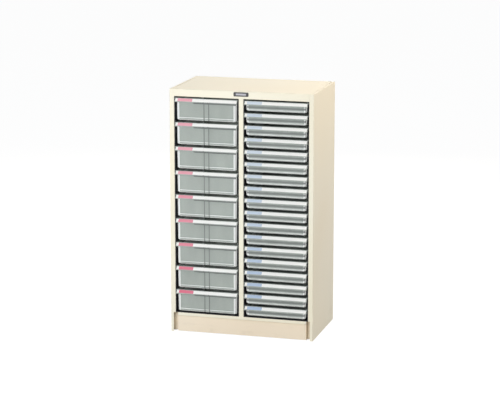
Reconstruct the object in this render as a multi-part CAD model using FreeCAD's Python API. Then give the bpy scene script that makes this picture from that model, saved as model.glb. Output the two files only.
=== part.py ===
import FreeCAD
import Part
import math
import os

# Two-column floor cabinet for sheet papers. A painted steel case holds nine deep and eighteen
# shallow clear trays, which hang by their side flanges in moulded runner panels.
# Millimetres. +Z is up, the fronts face -Y and X runs across the width. The origin is the middle
# of the footprint, on the floor.

# Overall size
case_width = 537.0
case_depth = 335.0  # from the front of the label lips to the heads of the back screws
case_height = 905.0

# Steel case
sheet = 1.0
fold_round = 1.5  # outside radius of a fold
stile_width = 17.5  # front post of each side panel
post_width = 17.5  # front of the middle partition
stile_return = 20.0  # how far a stile folds back
foot_stile_width = 10.0  # what is left of a stile beside the kickboard
side_top_flange = 9.0
side_foot_flange = 15.0
header_height = 27.0
header_top_flange = 9.0
base_height = 73.0  # floor to the floor of the drawer bays
seam = 0.5  # open joint between two folded pieces
lid_seam = 1.6  # shadow gap round the top panel
top_skirt = 12.0
skirt_cut = 1.5  # room under the top panel's edges
bottom_lip_height = 11.3
bottom_lip_return = 10.0
bottom_rear_flange = 20.0
partition_flange = 14.0
rear_rail_flange = 15.0

# Kickboard
kick_face_width = 488.0
kick_setback = 6.0
kick_tab_setback = 21.0
kick_tab_fold = 12.0
kick_floor_gap = 2.0

# Back panel
back_side_margin = 3.5
back_top_margin = 2.5
back_foot_lap = 13.0  # how far the back panel reaches down over the bottom panel's rear flange
back_field_margin = 40.0  # frame left round each pressed field
back_field_slope = 6.0
back_field_depth = 3.0

# Drawer bays
top_clearance = 5.5  # header to the first label lip
floor_clearance = 7.5  # lowest trays to the floor of the bays
shallow_count = 18
deep_count = 9
tray_gap = 9.0  # from a tray's underside to the next lip

# Trays
tray_runner_gap = 1.5  # from a tray's wall to the tips of the ledges
tray_rear_gap = 12.2  # from a closed tray to the back of the case
tray_wall = 2.0
tray_floor = 2.0
tray_draft = 1.5  # how far each wall leans in from rim to floor
tray_corner = 7.0  # flat across each upright corner, measured along the walls
tray_foot_chamfer = 2.5
rim_drop = 1.0  # from the lip's top to the rim
flange_thickness = 2.0
flange_side_gap = 0.4  # from a flange to the runner panel
flange_rear_reach = 2.5
flange_lead_in = 6.0
lip_reach = 10.0
lip_end_gap = 2.4  # how much shorter the lip is than the flanges, at each end
lip_drop = 12.0
lip_wall = 1.8
lip_ridge_width = 1.5
lip_ridge_height = 0.8
lip_bead = 1.8
lip_cheek = 1.5
rib_spacing = 17.0
rib_width = 2.4
rib_depth = 2.5
rib_top_gap = 8.0

# Runner panels
runner_plate = 2.0
runner_width = 5.0
ledge_root = 3.2
ledge_tip = 2.2
keeper_root = 2.4
keeper_tip = 1.8
running_gap = 0.3
keeper_gap = 0.5
nib_height = 2.5
nib_length = 3.0
stop_bite = 1.7
stop_length = 4.0
stop_inset = 0.8
drawer_travel = 230.0
travel_end_gap = 0.5
runner_top_gap = 0.5
runner_rear_gap = 12.0

# Black liners on the floor of each bay
liner_thickness = 1.2
liner_side_gap = 0.5
liner_setback = 2.0

# Hooks that hang the runner panels in slots of the steel
hook_width = 6.0
hook_neck = 8.0
hook_drop = 4.0
hook_reach = 2.0
hook_gap = 0.2
hook_margin = 70.0  # from each end of the bays to the nearest hook
hook_rows = 2

# Back screws
screw_shank = 1.5
screw_head = 3.4
screw_head_height = 1.8
screw_length = 6.0
screw_hole_gap = 0.1
screw_sides = 6

# Name plate
plate_width = 55.0
plate_height = 15.0
plate_lift = 3.0  # above the middle of the header
plate_thickness = 2.0
plate_corner = 2.0
insert_width = 38.0
insert_height = 7.0
insert_depth = 0.8

# Planes that the pieces share
half_width = case_width / 2
y_lip = -case_depth / 2
y_front = y_lip + lip_reach
y_back_face = case_depth / 2 - screw_head_height
y_rear = y_back_face - sheet
z_bay_floor = base_height
z_bay_top = case_height - header_height
back_low_edge = base_height - back_foot_lap
z_plate = case_height - header_height / 2 + plate_lift
x_stile = half_width - stile_width
x_post = post_width / 2
bay_width = x_stile - x_post
bay_centre = (x_stile + x_post) / 2
flange_half = bay_width / 2 - runner_plate - flange_side_gap
lip_half = flange_half - lip_end_gap
tray_half = bay_width / 2 - runner_plate - runner_width - tray_runner_gap
tray_length = y_rear - y_front - tray_rear_gap
z_first_lip = z_bay_top - top_clearance
tray_stack = z_first_lip - z_bay_floor - floor_clearance + tray_gap
shallow_pitch = tray_stack / shallow_count
deep_pitch = tray_stack / deep_count
y_runner_front = y_front + tray_wall + running_gap
y_runner_rear = y_rear - runner_rear_gap
y_nib_front = y_front + tray_length + flange_rear_reach - flange_lead_in - nib_length
y_stop_rear = y_nib_front - drawer_travel - travel_end_gap
hook_columns = (y_front + stile_return / 2, y_rear - stile_return / 2)

# Drawings on two planes: plan is seen from above, profile from the side


def plan(x, y):
    return FreeCAD.Vector(x, y, 0)


def profile(y, z):
    return FreeCAD.Vector(0, y, z)


def box(x0, x1, y0, y1, z0, z1):
    corner = FreeCAD.Vector(min(x0, x1), min(y0, y1), min(z0, z1))
    return Part.makeBox(abs(x1 - x0), abs(y1 - y0), abs(z1 - z0), corner)


def outline(points, radii, plane):
    """Closed wire through the points, with an arc at each corner that has a radius."""
    spots = [plane(*point) for point in points]
    starts, edges, ends = [], [], []
    for i, corner in enumerate(spots):
        if radii[i] <= 0:
            starts.append(corner)
            ends.append(corner)
            edges.append(None)
            continue
        back = (spots[i - 1] - corner).normalize()
        ahead = (spots[(i + 1) % len(spots)] - corner).normalize()
        half_angle = back.getAngle(ahead) / 2
        reach = radii[i] / math.tan(half_angle)
        middle = (back + ahead).normalize() * (radii[i] / math.sin(half_angle) - radii[i])
        starts.append(corner + back * reach)
        ends.append(corner + ahead * reach)
        edges.append(Part.Arc(starts[-1], corner + middle, ends[-1]).toShape())
    chain = []
    for i in range(len(spots)):
        if edges[i]:
            chain.append(edges[i])
        chain.append(Part.makeLine(ends[i], starts[(i + 1) % len(spots)]))
    return Part.Wire(chain)


def prism(points, plane, vector, radii=None):
    wire = outline(points, radii or [0] * len(points), plane)
    return Part.Face(wire).extrude(vector)


def flat_face(points):
    return Part.Face(Part.makePolygon(points + points[:1]))


def flat_sided(rings):
    """Closed solid with a flat side between each pair of neighbouring rings of corners."""
    faces = [flat_face(rings[0]), flat_face(rings[-1])]
    for low, high in zip(rings, rings[1:]):
        for i in range(len(low)):
            faces.append(flat_face([low[i - 1], low[i], high[i], high[i - 1]]))
    shell = Part.makeShell(faces)
    shell.sewShape()
    solid = Part.makeSolid(shell)
    if solid.Volume < 0:
        solid.reverse()
    return solid


def folded(path, plane, vector):
    """Bent sheet: the path is the outer face, and the sheet's thickness lies to its left."""
    steps = [(b[0] - a[0], b[1] - a[1]) for a, b in zip(path, path[1:])]
    lengths = [math.hypot(*step) for step in steps]
    normals = [(-dy / size, dx / size) for (dx, dy), size in zip(steps, lengths)]
    inner, outer_bends, inner_bends = [], [], []
    for i, (x, y) in enumerate(path):
        before = normals[max(i - 1, 0)]
        after = normals[min(i, len(normals) - 1)]
        share = sheet / (1 + before[0] * after[0] + before[1] * after[1])
        inner.append((x + (before[0] + after[0]) * share, y + (before[1] + after[1]) * share))
        if 0 < i < len(path) - 1:
            left_turn = steps[i - 1][0] * steps[i][1] - steps[i - 1][1] * steps[i][0] > 0
            outer_bends.append(fold_round if left_turn else 0)
            inner_bends.append(0 if left_turn else fold_round)
    radii = [0] + outer_bends + [0, 0] + inner_bends[::-1] + [0]
    return prism(path + inner[::-1], plane, vector, radii)


def up(distance):
    return FreeCAD.Vector(0, 0, distance)


def across(distance):
    return FreeCAD.Vector(distance, 0, 0)


def at_height(shape, z):
    shape.translate(up(z))
    return shape


def at_x(shape, x):
    shape.translate(across(x))
    return shape


def mirrored(shape):
    return shape.mirror(FreeCAD.Vector(0, 0, 0), FreeCAD.Vector(1, 0, 0))


def export(node, shape):
    shape = shape.removeSplitter() if shape.ShapeType != "Compound" else shape
    print(f"{node}: valid {shape.isValid()}, solids {len(shape.Solids)}, {shape.Volume / 1000:.1f} cm3")
    shape.exportStep(os.path.join("parts", node + ".step"))


# Places of the hooks and screws, named once for the holes and for the pieces in them


def hook_heights():
    first = z_bay_floor + hook_margin
    spacing = (z_bay_top - z_bay_floor - 2 * hook_margin) / (hook_rows - 1)
    return [first + spacing * row for row in range(hook_rows)]


def hook_slots(x0, x1):
    """Slots from x0 to x1, tall enough to put each hook in before it drops on its neck."""
    half = hook_width / 2 + hook_gap
    top = hook_drop + hook_gap
    return [box(x0, x1, y - half, y + half, z - hook_neck, z + top)
            for y in hook_columns for z in hook_heights()]


def hooks():
    """Hooks on the back of a runner panel: a neck through the steel and a catch behind it."""
    x_catch = -runner_plate - sheet - hook_gap
    pieces = []
    for y in hook_columns:
        y0, y1 = y - hook_width / 2, y + hook_width / 2
        for z in hook_heights():
            pieces.append(box(x_catch - hook_reach / 2, -runner_plate / 2, y0, y1, z - hook_neck, z))
            pieces.append(box(x_catch - hook_reach, x_catch, y0, y1, z - hook_neck - hook_drop, z))
    return pieces


def back_screw_spots():
    top = case_height - header_height / 2
    low = back_low_edge + bottom_rear_flange / 3
    x_edge = half_width - stile_width / 2
    spots = [(side * x_edge, z) for side in (-1, 1) for z in (top, (top + low) / 2, low)]
    return spots + [(0, top), (0, low)]


def prism_round(x, y, z, radius, sides, length):
    """Bar along -Y from the plane y, centred on x and z, with flat sides round it."""
    angles = [math.tau * (i + 0.5) / sides for i in range(sides + 1)]
    points = [FreeCAD.Vector(x + radius * math.cos(a), y, z + radius * math.sin(a)) for a in angles]
    return Part.Face(Part.makePolygon(points)).extrude(FreeCAD.Vector(0, -length, 0))


def drill_back(shape):
    depth = 4 * sheet + back_field_depth
    return shape.cut([prism_round(x, y_back_face + sheet, z, screw_shank + screw_hole_gap,
                                  screw_sides, depth) for x, z in back_screw_spots()])


# Steel case


def side_panel():
    """Left side: one sheet folded into a front stile and a rear post, each with a return."""
    x_out = -half_width
    path = [(-x_stile, y_rear - stile_return), (-x_stile, y_rear), (x_out, y_rear),
            (x_out, y_front), (-x_stile, y_front), (-x_stile, y_front + stile_return)]
    panel = folded(path, plan, up(case_height))
    z_top_sheet = case_height - sheet
    inside = x_out + sheet / 2
    panel = panel.fuse([
        box(inside, x_out + side_top_flange, y_front + sheet, y_rear - sheet, z_top_sheet, case_height),
        box(inside, -x_stile - sheet / 2, y_front + sheet / 2, y_front + header_top_flange,
            z_top_sheet, case_height),
        box(inside, x_out + side_foot_flange, y_front + kick_tab_setback, y_rear - sheet, 0, sheet),
    ])
    under_top = box(x_out + side_top_flange, -x_stile + seam, y_front + header_top_flange,
                    y_rear + seam, case_height - sheet - skirt_cut, case_height + sheet)
    foot_notch = box(x_out + foot_stile_width, -x_stile + seam, y_front - sheet,
                     y_front + stile_return + sheet, -sheet, base_height)
    panel = panel.cut(under_top).cut(foot_notch)
    panel = panel.common(rounded_envelope())
    panel = panel.cut(hook_slots(-x_stile - 2 * sheet, -x_stile + sheet))
    return drill_back(panel)


def rounded_envelope():
    """Block round the left side panel, with the folds' outer radius on its front and top edges."""
    block = box(-half_width, -x_post, y_front, case_depth, 0, case_height)
    edges = [edge for edge in block.Edges if meets_rounded_edge(edge.BoundBox)]
    return block.makeFillet(fold_round, edges)


def meets_rounded_edge(bounds):
    """True for the block's upright front corner, its top front edge and its top outer edge."""
    outer = bounds.XMax < -half_width + sheet
    front = bounds.YMax < y_front + sheet
    top = bounds.ZMin > case_height - sheet
    return (outer and front) or (outer and top) or (front and top)


def header_rail():
    """Front rail over both columns, folded back under the top panel and over the bays."""
    path = [(y_front + header_top_flange, case_height), (y_front, case_height),
            (y_front, z_bay_top), (y_front + stile_return, z_bay_top)]
    return at_x(folded(path, profile, across(2 * x_stile)), -x_stile)


def top_panel():
    """Flat lid set between the side panels and behind the header, with a skirt on all sides."""
    x_edge = half_width - side_top_flange - lid_seam
    y0 = y_front + header_top_flange + lid_seam
    z_under = case_height - sheet
    lid = box(-x_edge, x_edge, y0, y_rear, z_under, case_height)
    z_skirt = case_height - top_skirt
    rear_drop = header_height - skirt_cut
    x_rear = x_stile - seam
    skirt = [
        box(sheet - x_edge, x_edge - sheet, y0, y0 + sheet, z_skirt, z_under),
        box(-x_edge, sheet - x_edge, y0, y_rear - 2 * sheet, z_skirt, z_under),
        box(x_edge - sheet, x_edge, y0, y_rear - 2 * sheet, z_skirt, z_under),
        box(-x_rear, x_rear, y_rear - sheet, y_rear, case_height - rear_drop, z_under),
    ]
    return drill_back(lid.fuse(skirt))


def bottom_panel():
    """Floor of the bays: a lip at the front, a flange down the back and notched front corners."""
    path = [(y_rear, base_height - bottom_rear_flange), (y_rear, base_height),
            (y_front, base_height), (y_front, base_height - bottom_lip_height),
            (y_front + bottom_lip_return, base_height - bottom_lip_height)]
    panel = at_x(folded(path, profile, across(2 * x_stile)), -x_stile)
    x_notch = kick_face_width / 2 - sheet - seam
    for side in (-1, 1):
        notch = box(side * x_notch, side * (x_stile + sheet), y_front - sheet,
                    y_front + kick_tab_setback + sheet + seam, 0, base_height + sheet)
        panel = panel.cut(notch)
    return drill_back(panel)


def kickboard():
    """Board under the front lip: its ends step back to taller tabs, folded on the side panels."""
    x_face = kick_face_width / 2
    x_end = half_width - sheet
    y_face = y_front + kick_setback
    y_tab = y_front + kick_tab_setback
    path = [(-x_end, y_tab + kick_tab_fold), (-x_end, y_tab), (-x_face, y_tab), (-x_face, y_face),
            (x_face, y_face), (x_face, y_tab), (x_end, y_tab), (x_end, y_tab + kick_tab_fold)]
    board = at_height(folded(path, plan, up(base_height - seam - kick_floor_gap)), kick_floor_gap)
    x_lip = x_face - sheet
    return board.cut(box(-x_lip, x_lip, y_front, y_tab, base_height - bottom_lip_height, base_height))


def rear_base_rail():
    """Channel across the foot of the back, between the rear posts."""
    z_low = kick_floor_gap
    z_high = base_height - bottom_rear_flange - sheet
    path = [(y_rear - rear_rail_flange, z_low), (y_rear, z_low), (y_rear, z_high),
            (y_rear - rear_rail_flange, z_high)]
    return at_x(folded(path, profile, across(2 * x_stile)), -x_stile)


def field_block(x0, x1, z0, z1, y, depth):
    """Block of one pressed field, with sloping sides, from the plane y to the depth inside it."""
    rings = []
    for inset, level in ((0, y), (back_field_slope, y - depth)):
        rings.append([FreeCAD.Vector(x0 + inset, level, z0 + inset),
                      FreeCAD.Vector(x1 - inset, level, z0 + inset),
                      FreeCAD.Vector(x1 - inset, level, z1 - inset),
                      FreeCAD.Vector(x0 + inset, level, z1 - inset)])
    return flat_sided(rings)


def back_panel():
    """Sheet screwed on the rear posts, with one field pressed in behind each column."""
    x_edge = half_width - back_side_margin
    z_high = case_height - back_top_margin
    panel = box(-x_edge, x_edge, y_rear, y_back_face, back_low_edge, z_high)
    z0 = z_bay_floor + back_field_margin
    z1 = z_bay_top - back_field_margin
    for side in (-1, 1):
        x0, x1 = sorted((side * back_field_margin, side * (x_stile - back_field_margin)))
        panel = panel.fuse(field_block(x0, x1, z0, z1, y_rear, back_field_depth))
        panel = panel.cut(field_block(x0, x1, z0, z1, y_back_face, back_field_depth))
    return drill_back(panel)


def centre_partition():
    """Hat section between the columns: a front post, two walls and two flanges on the back."""
    y_flange = y_rear - sheet
    x_flange = x_post + partition_flange
    path = [(-x_flange, y_flange), (-x_post, y_flange), (-x_post, y_front),
            (x_post, y_front), (x_post, y_flange), (x_flange, y_flange)]
    partition = at_height(folded(path, plan, up(z_bay_top - z_bay_floor)), z_bay_floor)
    return partition.cut(hook_slots(-x_post - sheet, x_post + sheet))


# Runner panels


def groove_outline(z_rim):
    """Ledge and keeper of one tray in the XZ plane, from the plate's face at x = 0 and back to it."""
    z_ledge = z_rim - flange_thickness - running_gap
    z_keeper = z_rim + nib_height + keeper_gap
    return [(0, z_ledge - ledge_root), (runner_width, z_ledge - ledge_tip), (runner_width, z_ledge),
            (0, z_ledge), (0, z_keeper), (runner_width, z_keeper),
            (runner_width, z_keeper + keeper_tip), (0, z_keeper + keeper_root)]


def end_stop(z_rim):
    """Block under the keeper, which the nib of an open tray meets."""
    z_keeper = z_rim + nib_height + keeper_gap
    x_tip = runner_width - stop_inset
    return box(-runner_plate / 2, x_tip, y_stop_rear - stop_length, y_stop_rear,
               z_rim + nib_height - stop_bite, z_keeper + keeper_tip / 2)


def runner_panel(pitch, count):
    """Panel with its face on the plane x = 0 and its grooves towards +X, one for each tray."""
    rims = [z_first_lip - rim_drop - pitch * row for row in range(count)]
    comb = [(-runner_plate, z_bay_floor), (0, z_bay_floor)]
    for z_rim in reversed(rims):
        comb += groove_outline(z_rim)
    comb += [(0, z_bay_top - runner_top_gap), (-runner_plate, z_bay_top - runner_top_gap)]
    corners = [FreeCAD.Vector(x, y_runner_front, z) for x, z in comb]
    face = Part.Face(Part.makePolygon(corners + corners[:1]))
    panel = face.extrude(FreeCAD.Vector(0, y_runner_rear - y_runner_front, 0))
    return panel.fuse([end_stop(z_rim) for z_rim in rims] + hooks())


def bay_liner():
    """Thin moulded floor of one bay, between its runner panels and centred on x = 0."""
    x_edge = bay_width / 2 - runner_plate - liner_side_gap
    return box(-x_edge, x_edge, y_front + liner_setback, y_runner_rear, z_bay_floor,
               z_bay_floor + liner_thickness)


def back_screws():
    """Hexagon screws through the back panel into the flanges behind it."""
    screws = []
    for x, z in back_screw_spots():
        head = prism_round(x, case_depth / 2, z, screw_head, 6, screw_head_height)
        shank = prism_round(x, y_back_face, z, screw_shank, screw_sides, screw_length)
        screws.append(head.fuse(shank))
    return Part.makeCompound(screws)


# Trays


def tray_ring(inset, height, depth):
    """Corners of the tray's wall at a height over its foot, set in by the inset."""
    lean = tray_draft * (1 - height / depth)
    x = tray_half - lean - inset
    y0 = y_front + lean + inset
    y1 = y_front + tray_length - lean - inset
    flat = tray_corner - (2 - math.sqrt(2)) * (lean + inset)
    corners = [(flat - x, y0), (x - flat, y0), (x, y0 + flat), (x, y1 - flat),
               (x - flat, y1), (flat - x, y1), (-x, y1 - flat), (-x, y0 + flat)]
    return [FreeCAD.Vector(u, v, height) for u, v in corners]


def lip_profile(depth):
    """Side view of the label lip: a sloping seat between two ridges, over a finger space."""
    slope = math.hypot(lip_reach, lip_drop)
    along = (-lip_reach / slope, -lip_drop / slope)
    outward = (-lip_drop / slope, lip_reach / slope)
    z_top = depth + rim_drop

    def spot(run, rise):
        y = y_front + run * along[0] + rise * outward[0]
        return y, z_top + run * along[1] + rise * outward[1]

    below = -(lip_ridge_height + lip_wall)
    z_bead = z_top - lip_drop - lip_bead
    run_bead = (z_top - z_bead + below * outward[1]) / -along[1]
    run_wall = (below * outward[0]) / -along[0]
    return [(y_front + tray_wall, z_top), spot(0, 0), spot(lip_ridge_width, 0),
            spot(lip_ridge_width, -lip_ridge_height),
            spot(slope - lip_ridge_width, -lip_ridge_height), spot(slope - lip_ridge_width, 0),
            spot(slope, 0), (y_front - lip_reach, z_bead), spot(run_bead, below),
            spot(run_wall, below), (y_front + tray_wall, spot(run_wall, below)[1])]


def tray(depth, ribbed):
    """Moulded tray with its foot at z = 0 and its rim at the depth, centred on x = 0."""
    chamfer = tray_foot_chamfer
    shell = flat_sided([tray_ring(chamfer, 0, depth), tray_ring(0, chamfer, depth),
                        tray_ring(0, depth, depth)])
    pocket = flat_sided([tray_ring(tray_wall, tray_floor, depth),
                         tray_ring(tray_wall, depth + rim_drop, depth)])
    y_end = y_front + tray_length + flange_rear_reach
    lead = flange_lead_in
    flange = prism([(-flange_half, y_front), (flange_half, y_front), (flange_half, y_end - lead),
                    (flange_half - lead, y_end), (lead - flange_half, y_end),
                    (-flange_half, y_end - lead)], plan, up(flange_thickness))
    lip = prism(lip_profile(depth), profile, across(2 * lip_half))
    shell = shell.fuse([at_height(flange, depth - flange_thickness), at_x(lip, -lip_half)])
    shell = shell.cut(pocket)
    z_top = depth + rim_drop
    z_bead = z_top - lip_drop - lip_bead
    cheek = [(y_front, z_top), (y_lip, z_top - lip_drop), (y_lip, z_bead), (y_front, z_bead),
             (y_front + tray_wall, z_bead), (y_front + tray_wall, z_top)]
    z_under_flange = depth - flange_thickness
    pieces = []
    for side in (-1, 1):
        x_cheek = lip_half - lip_cheek if side > 0 else -lip_half
        cheek_solid = at_x(prism(cheek, profile, across(lip_cheek)), x_cheek)
        behind = box(-flange_half, flange_half, y_front, y_front + 2 * tray_wall, 0,
                     z_under_flange)
        pieces.append(cheek_solid.cut(behind))
        pieces.append(box(side * (tray_half + rim_drop), side * flange_half, y_nib_front,
                          y_nib_front + nib_length, depth - flange_thickness / 2,
                          depth + nib_height))
        if ribbed:
            x = side * rib_spacing / 2
            y_wall = y_front + tray_wall
            pieces.append(box(x - rib_width / 2, x + rib_width / 2, y_wall,
                              y_wall + rib_depth + tray_draft, tray_floor / 2,
                              depth - rib_top_gap))
    return shell.fuse(pieces)


# Name plate


def name_plate():
    """Bare dark plate on the header, with a shallow pocket for its insert."""
    z = z_plate
    x = plate_width / 2
    h = plate_height / 2
    c = plate_corner
    corners = [(c - x, z - h), (x - c, z - h), (x, z + c - h), (x, z + h - c),
               (x - c, z + h), (c - x, z + h), (-x, z + h - c), (-x, z + c - h)]
    face = flat_face([FreeCAD.Vector(u, y_front, v) for u, v in corners])
    plate = face.extrude(FreeCAD.Vector(0, -plate_thickness, 0))
    return plate.cut(insert_block(z))


def insert_block(z):
    y_face = y_front - plate_thickness
    return box(-insert_width / 2, insert_width / 2, y_face, y_face + insert_depth,
               z - insert_height / 2, z + insert_height / 2)


def name_plate_insert():
    return insert_block(z_plate)


def export_case():
    left = side_panel()
    export("left_side_panel", left)
    export("right_side_panel", mirrored(left))
    export("header_rail", header_rail())
    export("top_panel", top_panel())
    export("bottom_panel", bottom_panel())
    export("kickboard", kickboard())
    export("rear_base_rail", rear_base_rail())
    export("back_panel", back_panel())
    export("centre_partition", centre_partition())
    export("name_plate", name_plate())
    export("name_plate_insert", name_plate_insert())


def export_runners():
    deep = runner_panel(deep_pitch, deep_count)
    shallow = runner_panel(shallow_pitch, shallow_count)
    x_outer = x_stile - runner_plate
    x_inner = x_post + runner_plate
    export("runner_left_outer", at_x(deep.copy(), -x_outer))
    export("runner_left_inner", at_x(mirrored(deep), -x_inner))
    export("runner_right_inner", at_x(shallow.copy(), x_inner))
    export("runner_right_outer", at_x(mirrored(shallow), x_outer))
    export("bay_liner_left", at_x(bay_liner(), -bay_centre))
    export("bay_liner_right", at_x(bay_liner(), bay_centre))
    export("back_screws", back_screws())


def export_trays():
    columns = (("deep_drawer", -bay_centre, deep_pitch, deep_count, True),
               ("shallow_drawer", bay_centre, shallow_pitch, shallow_count, False))
    for name, x, pitch, count, ribbed in columns:
        depth = pitch - tray_gap - rim_drop
        master = tray(depth, ribbed)
        for row in range(count):
            z_foot = z_first_lip - rim_drop - depth - pitch * row
            export(f"{name}_{row + 1}", at_x(at_height(master.copy(), z_foot), x))


os.makedirs("parts", exist_ok=True)
export_case()
export_runners()
export_trays()
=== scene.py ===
# %% [markdown]
# A floor cabinet for sheet papers: nine deep clear trays beside eighteen shallow ones, in a case of
# folded steel painted ivory. The solids come packed from the construction model, so their shapes
# are settled. This lesson gives them their finishes and adds what is too thin for that model:
# the paper label and the coloured index card on the lip of every tray.

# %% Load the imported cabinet
import math

import bmesh
import bpy
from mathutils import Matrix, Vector


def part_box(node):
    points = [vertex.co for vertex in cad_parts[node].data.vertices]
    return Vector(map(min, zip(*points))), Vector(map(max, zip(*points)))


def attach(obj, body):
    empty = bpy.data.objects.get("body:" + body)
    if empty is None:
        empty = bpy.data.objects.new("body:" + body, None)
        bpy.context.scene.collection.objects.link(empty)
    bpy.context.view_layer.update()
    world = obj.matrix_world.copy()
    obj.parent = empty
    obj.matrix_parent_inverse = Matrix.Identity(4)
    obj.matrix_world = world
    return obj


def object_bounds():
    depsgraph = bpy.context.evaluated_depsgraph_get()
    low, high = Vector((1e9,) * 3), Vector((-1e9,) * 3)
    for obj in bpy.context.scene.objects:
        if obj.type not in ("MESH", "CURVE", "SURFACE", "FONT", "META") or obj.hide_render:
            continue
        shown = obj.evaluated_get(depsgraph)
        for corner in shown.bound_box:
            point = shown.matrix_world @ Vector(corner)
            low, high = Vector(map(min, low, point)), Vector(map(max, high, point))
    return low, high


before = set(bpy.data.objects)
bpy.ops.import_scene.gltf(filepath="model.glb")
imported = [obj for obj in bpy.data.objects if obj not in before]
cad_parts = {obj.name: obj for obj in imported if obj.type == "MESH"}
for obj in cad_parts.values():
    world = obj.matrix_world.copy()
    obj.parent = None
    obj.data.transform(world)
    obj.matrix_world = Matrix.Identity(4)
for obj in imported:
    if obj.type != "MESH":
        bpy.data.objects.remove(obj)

MM = 0.001
cad_low, cad_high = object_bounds()
scene = bpy.context.scene


def column_of(prefix):
    """The trays of one column, from the top down."""
    names = [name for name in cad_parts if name.startswith(prefix)]
    return sorted(names, key=lambda name: -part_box(name)[0].z)


deep_trays = column_of("deep_drawer")
shallow_trays = column_of("shallow_drawer")
print("trays:", len(deep_trays), "deep and", len(shallow_trays), "shallow")
print("cabinet in millimetres:", [round(edge / MM, 1) for edge in cad_high - cad_low])

# %% [markdown]
# The camera stands to the right of the cabinet and a little above it. A long lens from over seven
# metres keeps the uprights nearly parallel. Its place and angles are what make the corners of a
# cabinet of this size fall on the corners in the picture.

# %% Camera
camera_place = Vector((1.947, -6.9814, 2.0121))
camera_turn = math.radians(15.665)
camera_dip = math.radians(12.197)
camera_data = bpy.data.cameras.new("camera")
camera_data.lens = 144.72
camera_data.sensor_width = 36
camera_data.clip_end = 200
camera = bpy.data.objects.new("camera", camera_data)
camera.location = camera_place
camera.rotation_euler = (math.pi / 2 - camera_dip, 0, camera_turn)
scene.collection.objects.link(camera)
scene.camera = camera
print("camera to the cabinet's middle:", round((camera_place - (cad_low + cad_high) / 2).length, 2), "m")

# %% [markdown]
# A material is a small sum. The class Flow wraps one socket, so that an expression such as
# 1 - mask adds its own Math nodes, and abs and larger do the same. Finish.node adds every other
# kind of node. Its settings come first, because they decide which sockets the node has.

# %% A shorthand for materials


class Flow:
    """A value on its way through a material's nodes."""

    def __init__(self, finish, socket):
        self.finish = finish
        self.socket = socket

    def math(self, operation, first, second):
        return self.finish.node("Math", {"operation": operation}, {0: first, 1: second})

    def __add__(self, other):
        return self.math("ADD", self, other)

    def __sub__(self, other):
        return self.math("SUBTRACT", self, other)

    def __rsub__(self, other):
        return self.math("SUBTRACT", other, self)

    def __mul__(self, other):
        return self.math("MULTIPLY", self, other)

    def __truediv__(self, other):
        return self.math("DIVIDE", self, other)

    def __abs__(self):
        return self.finish.node("Math", {"operation": "ABSOLUTE"}, {0: self})

    def larger(self, other):
        return self.math("MAXIMUM", self, other)

    __radd__ = __add__
    __rmul__ = __mul__


class Finish:
    """A material under construction."""

    def __init__(self, name, world=None):
        self.material = world or bpy.data.materials.new(name)
        self.material.use_nodes = True
        self.tree = self.material.node_tree
        self.tree.nodes.clear()

    def node(self, kind, settings=None, sockets=None, output=0):
        made = self.tree.nodes.new("ShaderNode" + kind)
        for name, value in (settings or {}).items():
            setattr(made, name, value)
        for name, value in (sockets or {}).items():
            if isinstance(value, Flow):
                self.tree.links.new(value.socket, made.inputs[name])
            else:
                made.inputs[name].default_value = value
        return Flow(self, made.outputs[output] if made.outputs else None)

    def place(self):
        """Where a point lies on the piece, in metres."""
        return self.node("TexCoord", output="Object")

    def grain(self, size, detail=2, stretch=(1, 1, 1)):
        """Noise from 0 to 1 with lumps of this size in metres, drawn out by the stretch."""
        spot = self.node("Mapping", {}, {"Vector": self.place(), "Scale": stretch})
        return self.node("TexNoise", {}, {"Vector": spot, "Scale": 1 / size, "Detail": detail})

    def along(self, axis):
        return self.node("SeparateXYZ", {}, {0: self.place()}, output=axis)

    def height(self):
        return self.along("Z")

    def ramp(self, value, start, end):
        """0 where the value is at the start, 1 at the end, and held outside them."""
        sockets = {"Value": value, "From Min": start, "From Max": end}
        return self.node("MapRange", {"clamp": True}, sockets)

    def blend(self, share, first, second):
        return self.node("Mix", {"data_type": "RGBA"}, {0: share, 6: first, 7: second}, output=2)

    def bump(self, height, depth, strength=1.0):
        return self.node("Bump", {}, {"Height": height, "Distance": depth, "Strength": strength})

    def shine(self, sockets):
        return self.node("BsdfPrincipled", {}, sockets)

    def done(self, shader):
        self.node("OutputMaterial", {}, {"Surface": shader})
        return self.material


def light_of(value):
    """One part of a colour on a screen, from 0 to 255, as the amount of light it stands for."""
    share = value / 255
    return share / 12.92 if share <= 0.04045 else ((share + 0.055) / 1.055) ** 2.4


def paint(red, green, blue):
    return (light_of(red), light_of(green), light_of(blue), 1)


print("half of a screen's range is this share of its light:", round(light_of(127.5), 3))

# %% [markdown]
# The floor is a wide pale disc. To the camera it glows a little as well as taking the lamps, so its
# lit parts reach white and run into the white background, while the part under the cabinet keeps
# its shadow. To everything else it is a plain matt floor, and it throws no extra light on the
# object.

# %% Floor and background
floor_radius = 60
floor_drop = 0.4 * MM
floor_grey = (0.58, 0.58, 0.58, 1)
floor_grey_seen = (0.42, 0.42, 0.42, 1)
floor_glow = 0.82
floor_shape = bmesh.new()
bmesh.ops.create_circle(floor_shape, cap_ends=True, radius=floor_radius, segments=64)
bmesh.ops.translate(floor_shape, verts=floor_shape.verts, vec=(0, 0, -floor_drop))
floor_mesh = bpy.data.meshes.new("floor")
floor_shape.to_mesh(floor_mesh)
floor_shape.free()
floor = bpy.data.objects.new("floor", floor_mesh)
scene.collection.objects.link(floor)


def seen_directly(finish):
    """1 for what the camera sees, straight or in metal or glass, and 0 for the light's own paths."""
    kinds = ["Is Camera Ray", "Is Glossy Ray", "Is Transmission Ray"]
    rays = [finish.node("LightPath", output=kind) for kind in kinds]
    return rays[0].math("MINIMUM", rays[0] + rays[1] + rays[2], 1)


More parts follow.
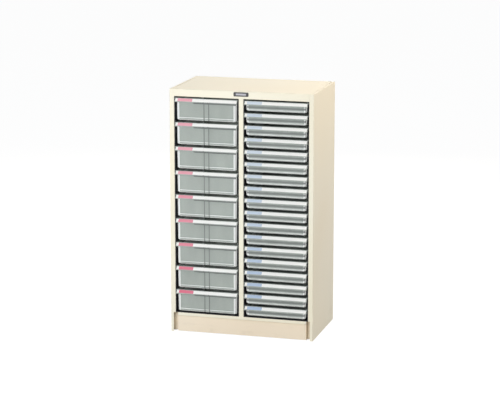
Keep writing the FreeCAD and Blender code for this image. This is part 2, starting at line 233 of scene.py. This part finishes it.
floor_finish = Finish("pale floor")
matt = floor_finish.node("BsdfDiffuse", {}, {"Color": floor_grey})
shaded = floor_finish.node("BsdfDiffuse", {}, {"Color": floor_grey_seen})
glow = floor_finish.node("Emission", {}, {"Color": (1, 1, 1, 1), "Strength": floor_glow})
lifted = floor_finish.node("AddShader", {}, {0: shaded, 1: glow})
floor_look = floor_finish.node("MixShader", {}, {0: seen_directly(floor_finish), 1: matt, 2: lifted})
floor_mesh.materials.append(floor_finish.done(floor_look))
print("floor is", 2 * floor_radius, "m across")

# %% [markdown]
# Product pictures of this kind are lit by a bright room and a few large soft boxes. The room is the
# world, which gives an even light that reaches into the bays. The front box is the strongest. The
# right side gets a smaller and warmer one, so it is a step darker than the front. The boxes stand
# so near that their light falls off towards the floor. The third stands behind the cabinet and
# higher than it. The lid mirrors it towards the camera, which makes the lid's warm tone.

# %% Light
world = bpy.data.worlds.new("room")
world.use_nodes = True
scene.world = world
room_finish = Finish("room", world)
room = room_finish.node("Background", {}, {"Color": (0.98, 0.99, 1, 1), "Strength": 0.37})
white = room_finish.node("Background", {}, {"Color": (1, 1, 1, 1), "Strength": 1})
seen = room_finish.node("MixShader", {}, {0: seen_directly(room_finish), 1: room, 2: white})
room_finish.node("OutputWorld", {}, {"Surface": seen})


def soft_box(name, place, target, power, width, colour):
    """A square lamp at a place, turned to face a target."""
    data = bpy.data.lights.new(name, "AREA")
    data.energy = power
    data.size = width
    data.color = colour
    made = bpy.data.objects.new(name, data)
    made.location = place
    made.rotation_mode = "QUATERNION"
    made.rotation_quaternion = (Vector(place) - Vector(target)).to_track_quat("Z", "Y")
    scene.collection.objects.link(made)
    return made


cabinet_middle = (cad_low + cad_high) / 2
soft_box("front box", (-0.7, -2.6, 1.35), cabinet_middle, 47, 1.6, (0.99, 1, 1))
soft_box("side box", (1.3, 0.1, 1.5), cabinet_middle, 9.5, 0.6, (1, 0.86, 0.7))
soft_box("back box", (-0.5, 2.8, 1.7), cabinet_middle, 12.2, 1.6, (1, 0.84, 0.62))
scene.view_settings.view_transform = "Standard"

# %% [markdown]
# The case is steel with a baked ivory paint. Close up such paint has a fine orange peel: low lumps
# about a millimetre wide that break up the shine. The colour drifts very slightly over the sheet,
# and the lowest hand's breadth picks up faint scuffs from shoes and mops. The kickboard's paint is
# a little warmer and darker: painted shade for its place low down, set back under the bottom rail.

# %% Painted steel
ivory = paint(248, 244, 226)
ivory_aged = paint(246, 239, 217)
# A warmer, darker ivory for the kickboard: painted shade.
ivory_kick_shaded = paint(249, 236, 215)
ivory_kick_shaded_aged = paint(245, 230, 207)
scuff_grey = paint(176, 168, 150)
scuff_share = 0.16


def painted_steel(name, fresh, aged):
    finish = Finish(name)
    drift = finish.grain(0.35, detail=1)
    colour = finish.blend(finish.ramp(drift, 0.35, 0.7), fresh, aged)
    low = finish.ramp(finish.height(), 0.075, 0.0)
    marks = finish.ramp(finish.grain(0.02, detail=5, stretch=(0.4, 0.4, 1)), 0.56, 0.72)
    colour = finish.blend(low * marks * scuff_share, colour, scuff_grey)
    speckle = finish.grain(0.0006, detail=1)
    peel = finish.grain(0.0016, detail=2)
    rough = 0.4 + peel * 0.08 + low * marks * 0.25
    return finish.done(finish.shine({
        "Base Color": colour, "Roughness": rough, "Specular IOR Level": 0.33,
        "Normal": finish.bump(peel + speckle * 0.3, 0.03 * MM)}))


# %% [markdown]
# The runner panels are moulded in black plastic with a fine spark-eroded grain, rubbed smoother
# where the trays slide.

# %% Black runner plastic
black = paint(46, 46, 49)
black_rubbed = paint(72, 72, 74)


def runner_plastic():
    finish = Finish("runner plastic")
    grain = finish.grain(0.0008, detail=3)
    rubbed = finish.ramp(finish.grain(0.012, detail=3, stretch=(1, 0.12, 1)), 0.5, 0.75)
    return finish.done(finish.shine({
        "Base Color": finish.blend(rubbed * 0.6, black, black_rubbed),
        "Roughness": 0.5 + grain * 0.12 - rubbed * 0.12, "Specular IOR Level": 0.3,
        "Normal": finish.bump(grain, 0.02 * MM)}))


# %% [markdown]
# The trays are clear polystyrene. Real glass shading would bend light through four walls at once
# and leave the bays black, because lamps don't reach through it. A thin moulded wall hardly bends
# what lies behind it, so the plastic is a clear varnish of low opacity instead. It lets shadows
# stay pale, and it grows denser where a wall is seen edge on, as real plastic does.
#
# Where the wall turns a corner it gets a painted highlight: the colour goes near white and the
# plastic denser, for the light its corners catch. A face that looks along none of the three main
# directions is such a corner, so the mask comes from the normal. The outer ends of the front wall
# get the same painted highlight, and they are found by their distance from the tray's middle.
#
# The trays repeat down a column, so the fraction that is left of a height divided by the pitch
# tells how far below its own lip a point lies. That places a painted highlight line above each
# foot, and a painted shadow line under the lip, where the wall stands in the lip's shadow and the
# finger space shows through.

# %% The lip's sizes, and places on a tray
lip_reach = 10 * MM
lip_drop = 12 * MM
lip_end_gap = 2.4 * MM
nib_above_lip = 1.5 * MM
cheek = 1.5 * MM
play = 0.2 * MM
index_inset = 8.5 * MM
index_length = 55 * MM


def index_span(tray):
    """Where the index card on a tray's lip starts and ends, from left to right."""
    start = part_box(tray)[0].x + lip_end_gap + cheek + play + index_inset
    return start, start + index_length


def below_lip(finish, trays):
    """How far below its own lip's top a point lies, for a column of trays listed from the top."""
    tops = [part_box(name)[1].z - nib_above_lip for name in trays[:2]]
    pitch = tops[0] - tops[1]
    share = (tops[0] - finish.height()) / pitch
    return finish.node("Math", {"operation": "FRACT"}, {0: share}) * pitch


def band(finish, value, middle, half_width):
    """1 where the value is near the middle and 0 further off than the half width, softly."""
    return finish.ramp(abs(value - middle), half_width, half_width * 0.4)


print("index cards on the deep trays end at x", round(index_span(deep_trays[0])[1] / MM, 1), "mm")

# %% Clear plastic
plastic_tint = paint(216, 225, 219)
# Near white, for haze seen edge on and for the painted highlight on corners, ends and the foot line.
plastic_haze_and_highlight = paint(250, 253, 252)
plastic_shade = paint(96, 101, 101)
clear_share = 0.34
rib_half_spacing = 8.8 * MM
rib_half_width = 3.0 * MM
front_half = 102.5 * MM
front_depth = 4 * MM
lip_foot = 13.8 * MM
deep_shadow = (17.0 * MM, 5.4 * MM)
shallow_shadow = (22.5 * MM, 5.6 * MM)


def edges_of(finish):
    """1 on the corners and chamfers, whose faces look along none of the three main directions."""
    normal = finish.node("NewGeometry", output="True Normal")
    flat = finish.node("VectorMath", {"operation": "ABSOLUTE"}, {0: normal})
    parts = [finish.node("SeparateXYZ", {}, {0: flat}, output=axis) for axis in "XYZ"]
    strongest = parts[0].larger(parts[1]).larger(parts[2])
    return finish.ramp(strongest, 0.97, 0.9)


def painted_shade_lines(finish, trays, ribbed):
    """Painted shadow under the white part of the label, and painted shade on the ribs behind a deep
    tray's front.
    """
    low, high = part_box(trays[0])
    across = finish.along("X")
    card_end = index_span(trays[0])[1]
    wall_end = low.y + lip_reach + front_depth
    on_front = finish.ramp(finish.along("Y"), wall_end + MM, wall_end)
    below = below_lip(finish, trays)
    if not ribbed:
        return band(finish, below, *shallow_shadow) * on_front * 0.9
    shadow = band(finish, below, *deep_shadow) * on_front
    shadow = shadow * finish.ramp(across, card_end - 3 * MM, card_end + 4 * MM)
    aside = abs(across - (low.x + high.x) / 2)
    # Painted shade: the ribs behind the front are darkened, as they look dark against the bay.
    rib_shade = band(finish, aside, rib_half_spacing, rib_half_width) * on_front
    return rib_shade.larger(shadow)


def clear_plastic(name, trays, foot_highlight_depth, ribbed):
    finish = Finish(name)
    facing = finish.node("LayerWeight", {}, {"Blend": 0.5}, output="Facing")
    edge_on = finish.ramp(facing, 0.45, 1.0)
    flow_lines = finish.grain(0.05, detail=2, stretch=(1, 0.3, 0.3))
    below = below_lip(finish, trays)
    middle = (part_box(trays[0])[0].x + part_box(trays[0])[1].x) / 2
    # Painted highlight: corners, the outer ends of the front wall and a line above each foot go near
    # white and denser, for the light they catch.
    end_highlight = finish.ramp(abs(finish.along("X") - middle), front_half - MM, front_half)
    corner_highlight = edges_of(finish).larger(end_highlight) * finish.ramp(below, lip_foot, lip_foot + MM)
    foot_highlight = band(finish, below, foot_highlight_depth, 1.8 * MM)
    painted_highlight = corner_highlight.larger(foot_highlight * (0.35 + flow_lines * 0.7))
    scratches = finish.grain(0.004, detail=3, stretch=(1, 0.05, 1))
    worn = finish.ramp(scratches, 0.55, 0.8)
    painted_shade = painted_shade_lines(finish, trays, ribbed)
    colour = finish.blend(edge_on.larger(painted_highlight), plastic_tint, plastic_haze_and_highlight)
    # Painted shade: the shadow line under the label and the dark ribs are mixed into the colour and made
    # denser.
    colour = finish.blend(painted_shade * 0.9, colour, plastic_shade)
    density = clear_share + edge_on * 0.3 + painted_highlight * 0.6 + worn * 0.06 + flow_lines * 0.12 + painted_shade * 0.5
    return finish.done(finish.shine({
        "Base Color": colour,
        "Roughness": 0.1 + worn * 0.25,
        "IOR": 1.58,
        "Alpha": density,
        "Normal": finish.bump(flow_lines, 0.15 * MM)}))


# %% [markdown]
# Small metal and plastic parts: zinc-plated screws with a cloudy plating, the dark name plate and
# its brushed insert, drawn out along its length.

# %% Zinc, name plate and insert
zinc = paint(196, 198, 196)
zinc_dull = paint(150, 150, 146)
plate_grey_light = paint(158, 158, 163)
plate_grey_dark = paint(118, 118, 126)


def zinc_steel():
    finish = Finish("zinc plating")
    cloud = finish.grain(0.002, detail=3)
    return finish.done(finish.shine({
        "Base Color": finish.blend(cloud, zinc, zinc_dull),
        "Metallic": 1.0, "Roughness": 0.28 + cloud * 0.2,
        "Normal": finish.bump(cloud, 0.02 * MM)}))


def plate_black():
    finish = Finish("plate black")
    grain = finish.grain(0.0007, detail=3)
    return finish.done(finish.shine({
        "Base Color": finish.blend(grain * 0.5, paint(20, 20, 22), paint(38, 38, 42)),
        "Roughness": 0.34 + grain * 0.15,
        "Normal": finish.bump(grain, 0.015 * MM)}))


def plate_grey():
    finish = Finish("plate grey")
    brushed = finish.grain(0.0009, detail=4, stretch=(0.03, 1, 1))
    return finish.done(finish.shine({
        "Base Color": finish.blend(brushed, plate_grey_dark, plate_grey_light),
        "Metallic": 0.6, "Roughness": 0.35 + brushed * 0.2,
        "Normal": finish.bump(brushed, 0.01 * MM)}))


# %% [markdown]
# The finishes now go on the solids. A solid's mesh and place stay as they came, and only the
# material in its slot changes.

# %% Finishes on the solids


def dress(names, material):
    for name in names:
        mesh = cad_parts[name].data
        mesh.materials.clear()
        mesh.materials.append(material)
    print(material.name, "on", len(names), "solids")


steel_names = ["left_side_panel", "right_side_panel", "header_rail", "top_panel", "bottom_panel",
               "rear_base_rail", "back_panel", "centre_partition"]
black_names = [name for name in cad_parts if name.startswith(("runner", "bay_liner"))]
dress(steel_names, painted_steel("ivory steel", ivory, ivory_aged))
# Painted shade: the kickboard takes the warmer, darker copy of the ivory paint.
dress(["kickboard"], painted_steel("shaded ivory steel", ivory_kick_shaded, ivory_kick_shaded_aged))
dress(black_names, runner_plastic())
dress(deep_trays, clear_plastic("clear plastic deep", deep_trays, 71.5 * MM, True))
dress(shallow_trays, clear_plastic("clear plastic shallow", shallow_trays, 30.5 * MM, False))
dress(["back_screws"], zinc_steel())
dress(["name_plate"], plate_black())
dress(["name_plate_insert"], plate_grey())

# %% [markdown]
# Every tray has a sloping lip with a seat between two ridges, and in it a white paper label under a
# coloured index card: red on the deep trays and blue on the shallow ones. One Geometry Nodes tree
# makes any strip of card from named sizes. It lays out a grid, lets it wave by about a tenth of a
# millimetre, gives it its thickness, and sets it on the slope.

# %% The tree for a strip of card


class Works:
    """A Geometry Nodes tree under construction."""

    def __init__(self, name):
        self.tree = bpy.data.node_groups.new(name, "GeometryNodeTree")
        self.tree.interface.new_socket("Geometry", in_out="OUTPUT", socket_type="NodeSocketGeometry")
        self.entry = None

    def size(self, name, kind="NodeSocketFloat"):
        self.tree.interface.new_socket(name, in_out="INPUT", socket_type=kind)

    def given(self, name):
        if self.entry is None:
            self.entry = self.tree.nodes.new("NodeGroupInput")
        return self.entry.outputs[name]

    def node(self, kind, settings=None, sockets=None):
        made = self.tree.nodes.new(kind)
        for name, value in (settings or {}).items():
            setattr(made, name, value)
        for name, value in (sockets or {}).items():
            if isinstance(value, bpy.types.NodeSocket):
                self.tree.links.new(value, made.inputs[name])
            else:
                made.inputs[name].default_value = value
        return made.outputs

    def number(self, operation, *values):
        return self.node("ShaderNodeMath", {"operation": operation}, dict(enumerate(values)))[0]

    def finish(self, geometry):
        """Ends the tree: instances made real, and the finish put on."""
        real = self.node("GeometryNodeRealizeInstances", {}, {"Geometry": geometry})[0]
        dressed = self.node("GeometryNodeSetMaterial", {},
                            {"Geometry": real, "Material": self.given("Finish")})[0]
        output = self.tree.nodes.new("NodeGroupOutput")
        self.tree.links.new(dressed, output.inputs[0])
        return self.tree


strip_columns = 33
strip_rows = 3
waves_per_metre = 14.0


def strip_tree():
    works = Works("strip of card")
    for name in ("Length", "Width", "Thickness", "Wave", "Turn"):
        works.size(name)
    works.size("Place", "NodeSocketVector")
    works.size("Finish", "NodeSocketMaterial")
    sheet = works.node("GeometryNodeMeshGrid", {}, {
        "Size X": works.given("Length"), "Size Y": works.given("Width"),
        "Vertices X": strip_columns, "Vertices Y": strip_rows})[0]
    spot = works.node("GeometryNodeInputPosition")[0]
    shifted = works.node("ShaderNodeVectorMath", {"operation": "ADD"},
                         {0: spot, 1: works.given("Place")})[0]
    noise = works.node("ShaderNodeTexNoise", {}, {
        "Vector": shifted, "Scale": waves_per_metre, "Detail": 0.0})[0]
    lift = works.number("MULTIPLY", noise, works.given("Wave"))
    rise = works.node("ShaderNodeCombineXYZ", {}, {"Z": lift})[0]
    waved = works.node("GeometryNodeSetPosition", {}, {"Geometry": sheet, "Offset": rise})[0]
    upper = works.node("GeometryNodeExtrudeMesh", {"mode": "FACES"}, {
        "Mesh": waved, "Offset": (0.0, 0.0, 1.0),
        "Offset Scale": works.given("Thickness"), "Individual": False})[0]
    under = works.node("GeometryNodeFlipFaces", {}, {"Mesh": waved})[0]
    both = works.node("GeometryNodeJoinGeometry")
    join = both[0].node
    for part in (under, upper):
        works.tree.links.new(part, join.inputs[0])
    closed = works.node("GeometryNodeMergeByDistance", {}, {"Geometry": both[0], "Distance": 1e-6})[0]
    tilt = works.node("ShaderNodeCombineXYZ", {}, {"X": works.given("Turn")})[0]
    placed = works.node("GeometryNodeTransform", {}, {
        "Geometry": closed, "Translation": works.given("Place"), "Rotation": tilt})[0]
    return works.finish(placed)


card_tree = strip_tree()
print("strip tree has", len(card_tree.nodes), "nodes")

# %% [markdown]
# The seat's place is read from each tray's own box: its front is the front of the box, and the lip's
# top lies a little under the stop nibs, which are the highest points of a tray.

# %% Paper for the labels and cards
paper_white = paint(252, 252, 250)
paper_shade = paint(240, 240, 236)


def label_card():
    finish = Finish("label card")
    fibre = finish.grain(0.0009, detail=4)
    return finish.done(finish.shine({
        "Base Color": finish.blend(fibre * 0.5, paper_white, paper_shade),
        "Roughness": 0.62 + fibre * 0.1,
        "Normal": finish.bump(fibre, 0.02 * MM)}))


def index_card(name, full, top_colour):
    """Printed card with a film over it. Cards near the top of the case are paler."""
    finish = Finish(name)
    fibre = finish.grain(0.0008, detail=3)
    paler_upward = finish.ramp(finish.height() + finish.grain(0.09, detail=1) * 0.2, 0.2, 0.75)
    return finish.done(finish.shine({
        "Base Color": finish.blend(paler_upward * 0.8 + fibre * 0.1, full, top_colour),
        "Roughness": 0.32 + fibre * 0.1, "Coat Weight": 0.3,
        "Normal": finish.bump(fibre, 0.01 * MM)}))


card_white = label_card()
card_red = index_card("index red", paint(222, 98, 128), paint(238, 178, 190))
card_blue = index_card("index blue", paint(170, 190, 219), paint(214, 224, 234))

# %% Labels and index cards on every lip
ridge_height = 0.8 * MM
ridge_width = 1.5 * MM
paper_thickness = 0.25 * MM
index_thickness = 0.3 * MM
label_level = 0.02 * MM
index_level = 0.05 * MM + paper_thickness
wave_height = 0.12 * MM
lip_slope = math.hypot(lip_reach, lip_drop)
slope_turn = math.atan2(lip_drop, lip_reach)
outward = Vector((0, -lip_drop / lip_slope, lip_reach / lip_slope))


def made_by(tree, sizes, name, body):
    """The plain mesh that a tree makes from these sizes, riding on a body."""
    piece = bpy.data.objects.new(name, bpy.data.meshes.new(name))
    scene.collection.objects.link(piece)
    nodes = piece.modifiers.new("tree", "NODES")
    nodes.node_group = tree
    for socket in tree.interface.items_tree:
        if socket.in_out == "INPUT":
            nodes[socket.identifier] = sizes[socket.name]
    depsgraph = bpy.context.evaluated_depsgraph_get()
    mesh = bpy.data.meshes.new_from_object(piece.evaluated_get(depsgraph))
    piece.modifiers.clear()
    piece.data = mesh
    mesh.name = name
    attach(piece, body)
    return piece


def strip(name, body, material, centre_x, length, level, thickness):
    """One strip of card on a tray's seat, at a level over the seat's floor."""
    low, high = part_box(body)
    lip_top = high.z - nib_above_lip
    middle = Vector((centre_x, low.y + lip_reach / 2, lip_top - lip_drop / 2))
    sizes = {"Length": length, "Width": lip_slope - 2 * (ridge_width + play), "Thickness": thickness,
             "Wave": wave_height, "Turn": slope_turn, "Place": middle + outward * (level - ridge_height),
             "Finish": material}
    return made_by(card_tree, sizes, name, body)


for body in deep_trays + shallow_trays:
    low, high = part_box(body)
    length = high.x - low.x - 2 * (lip_end_gap + cheek + play)
    colour, colour_slot = (card_red, "index_red") if body in deep_trays else (card_blue, "index_blue")
    strip(f"{body}_label", body, card_white, (low.x + high.x) / 2, length, label_level,
          paper_thickness)
    strip(f"{body}_index", body, colour, sum(index_span(body)) / 2, index_length,
          index_level, index_thickness)
print("labels and index cards:", 2 * len(deep_trays + shallow_trays))
